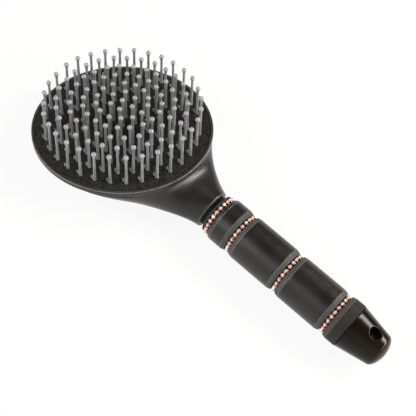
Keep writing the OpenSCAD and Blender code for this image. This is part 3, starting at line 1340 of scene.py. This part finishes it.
@dataclass
class NeckSpool(SubAssembly):
    """The spool behind the neck: a groove in the near-black base tone, which is painted shade, and a thin
    collar.
    """

    bore_r: float = 8.1 * MM
    hub_r: float = 8.8 * MM
    hub_round: float = 0.1 * MM
    groove_w: float = 2.3 * MM
    groove_round: float = 0.2 * MM
    collar_r: float = 10.9 * MM
    collar_round: float = 0.4 * MM
    collar_tone: float = 0.45
    margin: float = 0.01 * MM

    def span(self) -> Triple:
        """Return where the spool starts, where its collar starts and where it stops."""
        start, stop = self.frame.span("neck_collar")
        return start, start + self.groove_w, stop

    def collar_share(self, point: Vector) -> float:
        """Return how far a shared point takes the collar's paler tone."""
        return self.collar_tone if self.frame.along(point) > self.span()[1] + self.margin else 0.0

    def build(self) -> None:
        """Turn the spool, mark its collar and dress it."""
        start, flange, stop = self.span()
        profile = filleted(
            [
                (start, self.bore_r, 0.0),
                (start, self.hub_r, self.hub_round),
                (flange, self.hub_r, self.groove_round),
                (flange, self.collar_r, self.collar_round),
                (stop, self.collar_r, self.collar_round),
                (stop, self.bore_r, 0.0),
            ]
        )
        shell = Shell()
        shell.loft(self.frame.turned(profile), hoop=True)
        piece = shell.piece("neck_spool")
        # The groove keeps the near-black base tone: painted shade in the recess.
        mark_zone(piece, self.collar_share)
        self.dress(piece, "neck_collar", Slot.COLLAR)


@dataclass
class EndCap(SubAssembly):
    """Tapered glossy cap with a domed end and a hole to hang the brush by.

    A cap point is measured from the middle of the cap's seam, with x along the handle. The skin is a grid
    of corners by station along the cap and turn round it, with a square patch at each end of the hole.
    """

    seam_r: float = 12.3 * MM
    tip_r: float = 9.0 * MM
    edge: float = 0.4 * MM
    edge_steps: int = 4
    taper_steps: int = 5
    dome: float = 4.2 * MM
    dome_fullness: float = 1.8
    dome_steps: int = 14
    least_step: float = 0.05 * MM
    hole_r: float = 3.25 * MM
    hole_x: float = 11.3 * MM
    hole_edge: float = 0.4 * MM
    hole_steps: int = 4
    patch_r: float = 5.3 * MM
    patch_share: float = 0.66
    patch_rings: int = 5
    cells: int = 12
    side_cells: int = 28
    socket_r: float = 8.1 * MM
    socket: float = 5.4 * MM
    dark_seam: float = 0.28 * MM

    def seat(self) -> Vector:
        """Return the middle of the cap's seam in the shared frame."""
        return self.frame.handle(self.frame.span("end_cap")[0], 0.0, 0.0)

    def dome_x(self) -> float:
        """Return the distance from the seam to where the dome starts."""
        start, stop = self.frame.span("end_cap")
        return stop - start - self.dome

    def radius(self, x: float) -> float:
        """Return the cap's radius.

        Args:
            x: Distance from the seam.

        Returns:
            The radius there.
        """
        dome_x = self.dome_x()
        if x < self.edge:
            return self.seam_r - self.edge + math.sqrt(self.edge**2 - (self.edge - x) ** 2)
        if x <= dome_x:
            return mix(self.seam_r, self.tip_r, x / dome_x)
        rest = max(1 - ((x - dome_x) / self.dome) ** self.dome_fullness, 0.0)
        return self.tip_r * rest ** (1 / self.dome_fullness)

    def stations(self) -> tuple[list[float], int]:
        """Choose the places along the cap that carry a ring of corners.

        Returns:
            Their distances from the seam, and which one starts the patches.
        """
        patch_start, patch_stop = self.hole_x - self.patch_r, self.hole_x + self.patch_r
        before = [self.edge * (1 - math.cos(a)) for a in quarter_turn(self.edge_steps)[:-1]]
        before += [mix(self.edge, patch_start, k / self.taper_steps) for k in range(self.taper_steps)]
        patch = [mix(patch_start, patch_stop, k / self.cells) for k in range(self.cells + 1)]
        dome = [self.dome_x() + self.dome * math.sin(a) for a in quarter_turn(self.dome_steps)[:-1]]
        return before + patch + [x for x in dome if x > patch_stop + self.least_step], len(before)

    def turns(self) -> list[float]:
        """Choose the angles round the cap, closest together at the hole's two ends.

        Returns:
            Angles from the cap's top.
        """
        half = math.asin(self.patch_r / mix(self.seam_r, self.tip_r, self.patch_share))
        top = [mix(-half, half, k / self.cells) for k in range(self.cells)]
        side = [mix(half, math.pi - half, k / self.side_cells) for k in range(self.side_cells)]
        return top + side + [a + math.pi for a in top + side]

    def patches(self) -> tuple[tuple[int, int], tuple[int, int]]:
        """Return which turn starts each patch, with 1 for the one on top and -1 for the one underneath."""
        return (0, 1), (self.cells + self.side_cells, -1)

    def in_patch(self, i: int, j: int, least: int) -> bool:
        """Tell whether a place of the grid lies in a patch.

        Args:
            i: Its station, counted from the one that starts the patches.
            j: Its turn.
            least: 0 for a face, and 1 for a corner, which has to lie within the border.

        Returns:
            Whether it does.
        """
        starts = [start for start, _ in self.patches()]
        return least <= i < self.cells and any(least <= j - start < self.cells for start in starts)

    def ring(self, x: float, r: float) -> Ring:
        """Return shared points round the cap at a distance from its seam and at a radius."""
        seat = self.seat()
        return [seat + Vector((x, r * math.sin(a), r * math.cos(a))) for a in self.turns()]

    def surface(self, x: float, y: float, side: int) -> Vector:
        """Return the point of the cap's top or underside at a place seen from above."""
        radius = self.radius(x)
        return Vector((x, y, side * math.sqrt(max(radius * radius - y * y, 0.0))))

    def skin(self, shell: Shell, stations: list[float], first: int) -> Grid:
        """Lay the skin, with its patches left open.

        Args:
            shell: The cap's mesh.
            stations: Places along the cap that carry a ring of corners.
            first: Which station starts the patches.

        Returns:
            The corners by station and turn, with none inside a patch.
        """
        grid: Grid = []
        for i, x in enumerate(stations):
            row = []
            for j, point in enumerate(self.ring(x, self.radius(x))):
                row.append(None if self.in_patch(i - first, j, 1) else shell.mesh.verts.new(point))
            grid.append(row)
        for i, (near, far) in enumerate(zip(grid, grid[1:])):
            for j in range(len(near)):
                k = (j + 1) % len(near)
                if not self.in_patch(i - first, j, 0):
                    shell.mesh.faces.new((near[j], near[k], far[k], far[j]))
        shell.fan(grid[-1])
        return grid

    def hole_rings(self, border: list[Vector], side: int) -> list[Ring]:
        """Lay out rings from a patch's border to the hole's wall.

        Args:
            border: The patch's border, as cap points.
            side: 1 on top and -1 underneath.

        Returns:
            Rings of cap points that lie on the cap, then round the hole's edge.
        """
        lip_r = self.hole_r + self.hole_edge
        turns = [math.atan2(p.y, p.x - self.hole_x) for p in border]
        rings = []
        for k in range(1, self.patch_rings + 1):
            share = k / self.patch_rings
            ring = []
            for p, a in zip(border, turns):
                x = mix(p.x, self.hole_x + lip_r * math.cos(a), share)
                y = mix(p.y, lip_r * math.sin(a), share)
                ring.append(self.surface(x, y, side))
            rings.append(ring)
        lip = [(p.z, a) for p, a in zip(rings[-1], turns)]
        for lean in quarter_turn(self.hole_steps)[1:]:
            r = lip_r - self.hole_edge * math.sin(lean)
            drop = side * self.hole_edge * (1 - math.cos(lean))
            rings.append([Vector((self.hole_x + r * math.cos(a), r * math.sin(a), z - drop)) for z, a in lip])
        return rings

    def open_hole(self, shell: Shell, grid: Grid, first: int, start: int, side: int) -> Corners:
        """Skin one patch inwards to the hole's wall.

        Args:
            shell: The cap's mesh.
            grid: The skin's corners by station and turn.
            first: Which station starts the patch.
            start: Which turn starts it.
            side: 1 on top and -1 underneath.

        Returns:
            The corners at that end of the wall.
        """
        seat = self.seat()
        far, stop = first + self.cells, start + self.cells
        last = [grid[first][j] for j in range(start, stop)]
        last += [grid[i][stop] for i in range(first, far)]
        last += [grid[far][j] for j in range(stop, start, -1)]
        last += [grid[i][start] for i in range(far, first, -1)]
        for ring in self.hole_rings([v.co - seat for v in last], side):
            row = shell.corners([seat + p for p in ring])
            shell.bridge(last, row)
            last = row
        return last

    @staticmethod
    def join_wall(shell: Shell, upper: Corners, lower: Corners) -> None:
        """Join the hole's two edges with its straight wall.

        Args:
            shell: The cap's mesh.
            upper: The upper edge's corners.
            lower: The lower edge's corners, each of which lies under one of them.
        """
        below = []
        for corner in upper:
            gaps = [(other.co.xy - corner.co.xy).length for other in lower]
            below.append(lower[gaps.index(min(gaps))])
        shell.bridge(upper, below)

    def seam_share(self, point: Vector) -> float:
        """Return 1 where a shared point lies in the dark seam, and 0 elsewhere."""
        return 1.0 if point.x < self.seat().x + self.dark_seam else 0.0

    def build(self) -> None:
        """Make the cap as one closed mesh with its hole and socket, and dress it."""
        shell = Shell()
        stations, first = self.stations()
        grid = self.skin(shell, stations, first)
        edges = [self.open_hole(shell, grid, first, start, side) for start, side in self.patches()]
        self.join_wall(shell, *edges)
        last = grid[0]
        for x in (0.0, self.socket):
            row = shell.corners(self.ring(x, self.socket_r))
            shell.bridge(last, row)
            last = row
        shell.fan(last)
        piece = shell.piece("hanging_cap")
        mark_zone(piece, self.seam_share)
        self.dress(piece, "end_cap", Slot.CAP)


@dataclass
class CrystalBand(SubAssembly):
    """A ring of cut crystals in cups on a linking strip.

    The field claw lists, from a claw's foot to its tip, how far it stands in from the cup's outside, how
    far above the cup's top, and its half thickness.
    """

    number: int
    count: int = 24
    foot_r: float = 9.3 * MM
    strip_w: float = 0.9 * MM
    strip_t: float = 0.4 * MM
    strip_round: float = 0.1 * MM
    cup_h: float = 1.5 * MM
    cup_r: float = 1.17 * MM
    cup_wall: float = 0.2 * MM
    cup_foot: float = 0.05 * MM
    cup_foot_r: float = 1.0062 * MM
    cup_belly: float = 0.5 * MM
    cup_belly_round: float = 0.3 * MM
    cup_round: float = 0.12 * MM
    cup_inner_round: float = 0.06 * MM
    cup_sides: int = 18
    claw: tuple[Triple, ...] = (
        (0.1 * MM, -0.5 * MM, 0.12 * MM),
        (0.08 * MM, 0.12 * MM, 0.13 * MM),
        (0.34 * MM, 0.34 * MM, 0.08 * MM),
    )
    claw_flatness: float = 0.6
    claw_count: int = 4
    claw_sides: int = 6
    stone_r: float = 1.0 * MM
    stone_foot: float = 10.0 * MM
    stone_gap: float = 0.05 * MM
    girdle: float = 0.8 * MM
    crown: float = 0.9 * MM
    table_r: float = 0.55 * MM
    star_r: float = 0.82 * MM
    star_h: float = 0.58
    facets: int = 8

    def middle(self) -> float:
        """Return where the band lies along the handle."""
        return sum(self.frame.span(f"crystal_setting_{self.number}")) / 2

    def place(self, k: int, x: float, y: float, r: float) -> Vector:
        """Return a point of cup k: across the band, round it, and outwards from the handle's axis."""
        turn = Matrix.Rotation(FULL_TURN * k / self.count, 3, "X")
        return self.frame.handle(*(turn @ Vector((self.middle() + x, y, r))))

    def add_strip(self, shell: Shell) -> None:
        """Add the strip that links the cups.

        Args:
            shell: The setting's mesh.
        """
        start, stop = self.middle() - self.strip_w / 2, self.middle() + self.strip_w / 2
        top = self.foot_r + self.strip_t
        outline = [
            (start, self.foot_r, 0.0),
            (start, top, self.strip_round),
            (stop, top, self.strip_round),
            (stop, self.foot_r, 0.0),
        ]
        shell.loft(self.frame.turned(filleted(outline, steps=2)), hoop=True)

    def add_cup(self, shell: Shell, k: int) -> None:
        """Add a cup and the claws on it.

        Args:
            shell: The setting's mesh.
            k: Which cup.
        """
        top = self.foot_r + self.cup_h
        inner = self.cup_r - self.cup_wall
        outline = [
            (self.foot_r + self.cup_foot, self.cup_foot_r, 0.0),
            (self.foot_r + self.cup_belly, self.cup_r, self.cup_belly_round),
            (top, self.cup_r, self.cup_round),
            (top, inner, self.cup_inner_round),
            (self.stone_foot - self.stone_gap, inner, 0.0),
        ]
        rings = [circle(r, out, self.cup_sides) for out, r in filleted(outline, steps=2)]
        shell.loft([[self.place(k, *p) for p in ring] for ring in rings])
        for turn in full_turn(self.claw_count):
            self.add_claw(shell, k, turn + math.pi / self.claw_count)

    def add_claw(self, shell: Shell, k: int, a: float) -> None:
        """Add one claw that bends over a crystal.

        Args:
            shell: The setting's mesh.
            k: Which cup it stands on.
            a: Angle round the cup, in radians.
        """
        outwards = Vector((math.cos(a), math.sin(a), 0.0))
        sideways = Vector((-math.sin(a), math.cos(a), 0.0))
        rings = []
        for inset, rise, half in self.claw:
            ring = []
            for p in circle(half, self.foot_r + self.cup_h + rise, self.claw_sides):
                depth = p.y * self.claw_flatness
                point = outwards * (self.cup_r - inset + depth) + sideways * p.x
                ring.append(self.place(k, point.x, point.y, p.z + depth))
            rings.append(ring)
        shell.loft(rings)

    def facet_row(self, shell: Shell, k: int, start: float, count: int, r: float, out: float) -> Corners:
        """Add one row of a crystal's corners.

        Args:
            shell: The crystals' mesh.
            k: Which cup it sits in.
            start: Angle of the first corner, in radians.
            count: Corners in the row.
            r: Their distance from the crystal's middle.
            out: Their distance from the handle's axis.

        Returns:
            The corners.
        """
        turns = [start + turn for turn in full_turn(count)]
        return shell.corners([self.place(k, r * math.cos(a), r * math.sin(a), out) for a in turns])

    def add_crystal(self, shell: Shell, k: int, turn: float) -> None:
        """Add a crystal: a table, stars, kites and girdle facets on a straight girdle.

        Args:
            shell: The crystals' mesh.
            k: Which cup it sits in.
            turn: How far it is turned in its cup, in radians.
        """
        n, girdle = self.facets, self.stone_foot + self.girdle
        table = self.facet_row(shell, k, turn, n, self.table_r, girdle + self.crown)
        star_out = girdle + self.crown * self.star_h
        stars = self.facet_row(shell, k, turn + math.pi / n, n, self.star_r, star_out)
        edge = self.facet_row(shell, k, turn, 2 * n, self.stone_r, girdle)
        foot = self.facet_row(shell, k, turn, 2 * n, self.stone_r, self.stone_foot)
        faces = shell.mesh.faces
        faces.new(table)
        for i in range(n):
            j = (i + 1) % n
            faces.new((table[i], table[j], stars[i]))
            faces.new((table[i], stars[i], edge[2 * i]))
            faces.new((table[j], edge[2 * j], stars[i]))
            faces.new((stars[i], edge[2 * i + 1], edge[2 * i]))
            faces.new((stars[i], edge[2 * j], edge[2 * i + 1]))
        shell.bridge(edge, foot)
        faces.new(foot)

    def build(self, dice: random.Random) -> None:
        """Make and dress the band's setting and its crystals.

        Args:
            dice: Seeded source of how each crystal is turned in its cup.
        """
        setting = Shell()
        self.add_strip(setting)
        for k in range(self.count):
            self.add_cup(setting, k)
        self.dress(setting.piece(f"cup_chain_{self.number}"), f"crystal_setting_{self.number}", Slot.METAL)
        crystals = Shell()
        for k in range(self.count):
            self.add_crystal(crystals, k, dice.uniform(0.0, FULL_TURN / self.facets))
        row = crystals.piece(f"crystal_row_{self.number}", Shading.FLAT)
        self.dress(row, f"crystals_{self.number}", Slot.CRYSTAL)


@dataclass(frozen=True)
class LightPanel:
    """A soft light: its direction from the brush, its face and how bright that is, where 1 is white paper."""

    name: str
    way: Triple
    size: tuple[float, float]
    level: float
    tone: Colour = (1.0, 0.98, 0.96)
    away: float = 0.9
    roll: float = 0.0

    def hang(self) -> None:
        """Put the light in the scene, turned towards the brush."""
        data = bpy.data.lights.new(self.name, "AREA")
        data.shape = "RECTANGLE"
        data.size, data.size_y = self.size
        data.energy = self.level * self.size[0] * self.size[1] * math.pi
        data.color = self.tone
        out = Vector(self.way).normalized()
        aim = out.to_track_quat("Z", "Y").to_matrix() @ Matrix.Rotation(math.radians(self.roll), 3, "Z")
        linked(self.name, data).matrix_world = Matrix.Translation(out * self.away) @ aim.to_4x4()


@dataclass
class Studio:
    """Pale floor, a white tent, soft lights and the camera.

    The tent is open and dark towards tent_opening. Its stops give a brightness for each share of the way
    from square to the opening to straight at it. The lights are the keys behind the handle, then broad
    fills in front of it and at its end.
    """

    floor_half: float = 3.0
    floor_z: float = -0.1 * MM
    floor_tone: Colour = (0.9, 0.9, 0.9)
    floor_lift: float = 0.9
    tent_opening: Triple = (0.0, 0.5, 0.87)
    tent_stops: tuple[tuple[float, float], ...] = (
        (0.0, 0.72), (0.25, 0.55), (0.5, 0.2), (0.8, 0.06), (1.0, 0.04)
    )
    lights: tuple[LightPanel, ...] = (
        LightPanel("key_light", (0.65, 0.5, 0.57), (0.6, 0.22), 16.0, WARM_LIGHT, roll=54.0),
        LightPanel("cap_light", (0.36, 0.68, 0.64), (0.2, 0.22), 19.0, WARM_LIGHT),
        LightPanel("neck_light", (-0.18, 0.44, 0.87), (0.25, 0.25), 1.1, WARM_LIGHT),
        LightPanel("front_fill", (-0.42, -0.71, 0.56), (0.45, 0.5), 4.4),
        LightPanel("left_fill", (-0.8, -0.4, 0.45), (0.35, 0.35), 4.5),
        LightPanel("end_fill", (0.86, 0.16, 0.38), (0.3, 0.3), 5.0),
    )
    camera_place: Triple = (0.096506, -0.246699, 0.391262)
    camera_right: Triple = (0.7458, 0.6310, 0.2135)
    camera_up: Triple = (-0.6304, 0.5649, 0.5324)
    camera_back: Triple = (0.2154, -0.5317, 0.8191)
    lens: float = 77.83
    sensor_w: float = 36.0
    nearest: float = 0.01

    def build_camera(self) -> None:
        """Place the camera at the photograph's viewing angle."""
        data = bpy.data.cameras.new("camera")
        data.sensor_fit = "HORIZONTAL"
        data.sensor_width = self.sensor_w
        data.lens = self.lens
        data.clip_start = self.nearest
        camera = linked("camera", data)
        axes = Matrix((self.camera_right, self.camera_up, self.camera_back)).transposed()
        camera.matrix_world = Matrix.Translation(self.camera_place) @ axes.to_4x4()
        bpy.context.scene.camera = camera

    def build_floor(self) -> None:
        """Lay the pale floor that the brush lies on, lifted towards white where it is seen."""
        h, z = self.floor_half, self.floor_z
        data = bpy.data.meshes.new("floor")
        data.from_pydata([(-h, -h, z), (h, -h, z), (h, h, z), (-h, h, z)], [], [(0, 1, 2, 3)])
        floor = linked("floor", data)
        made = bpy.data.materials.new("pale_floor")
        sheet = NodeSheet.of(made)
        rays = sheet.add("ShaderNodeLightPath").outputs
        seen = sheet.math("MAXIMUM", rays["Is Camera Ray"], rays["Is Glossy Ray"])
        seen = sheet.math("MAXIMUM", seen, rays["Is Transmission Ray"])
        paper = sheet.add("ShaderNodeBsdfDiffuse", Color=self.floor_tone)
        glow = sheet.add("ShaderNodeEmission", Color=WHITE, Strength=1.0)
        both = sheet.add("ShaderNodeMixShader")
        sheet.feed(both.inputs[0], sheet.math("MULTIPLY", seen, self.floor_lift))
        sheet.feed(both.inputs[1], paper.outputs["BSDF"])
        sheet.feed(both.inputs[2], glow.outputs["Emission"])
        sheet.add("ShaderNodeOutputMaterial", Surface=both.outputs["Shader"])
        floor.data.materials.append(made)

    def build_tent(self) -> None:
        """Surround the brush with a white tent that is open and dark overhead and behind."""
        world = bpy.data.worlds.new("tent")
        bpy.context.scene.world = world
        sheet = NodeSheet.of(world)
        opening = sheet.add("ShaderNodeVectorMath", {"operation": "DOT_PRODUCT"})
        sheet.feed(opening.inputs[0], sheet.add("ShaderNodeTexCoord").outputs["Generated"])
        sheet.feed(opening.inputs[1], self.tent_opening)
        tent = sheet.add("ShaderNodeValToRGB", Fac=opening.outputs["Value"])
        stops = tent.color_ramp.elements
        while len(stops) < len(self.tent_stops):
            stops.new(0.5)
        for stop, (place, level) in zip(stops, self.tent_stops):
            stop.position = place
            stop.color = (level, level, level, 1.0)
        back = sheet.add("ShaderNodeBackground", Color=tent.outputs["Color"], Strength=1.0)
        sheet.add("ShaderNodeOutputWorld", Surface=back.outputs["Background"])

    def build(self) -> None:
        """Set up the studio."""
        bpy.context.scene.view_settings.view_transform = "Standard"
        self.build_camera()
        self.build_floor()
        self.build_tent()
        for panel in self.lights:
            panel.hang()


def main() -> None:
    """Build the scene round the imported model."""
    logging.basicConfig(level=logging.INFO, format="%(name)s: %(message)s")
    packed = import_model()
    effects = SharedEffects.build()
    materials = {finish.slot: finish.material(effects) for finish in FINISHES}
    Studio().build()
    frame = BrushFrame.from_cad(packed["joints"])
    HeadShell(frame, materials).build()
    pad = CushionPad(frame, materials)
    pins = PinField(frame, materials, pad)
    pad.build(pins.all_feet())
    pins.build(random.Random(PIN_SEED))
    NeckSpool(frame, materials).build()
    FrontGrip(frame, materials, "grip_front", "front_grip_sleeve").build()
    Sleeve(frame, materials, "grip_middle", "middle_grip_sleeve").build()
    Sleeve(frame, materials, "grip_rear", "rear_grip_sleeve").build()
    TailCollar(frame, materials, "tail_collar", "tail_ring").build()
    EndCap(frame, materials).build()
    dice = random.Random(CRYSTAL_SEED)
    for number in range(1, BAND_COUNT + 1):
        CrystalBand(frame, materials, number).build(dice)


if __name__ == "__main__":
    main()
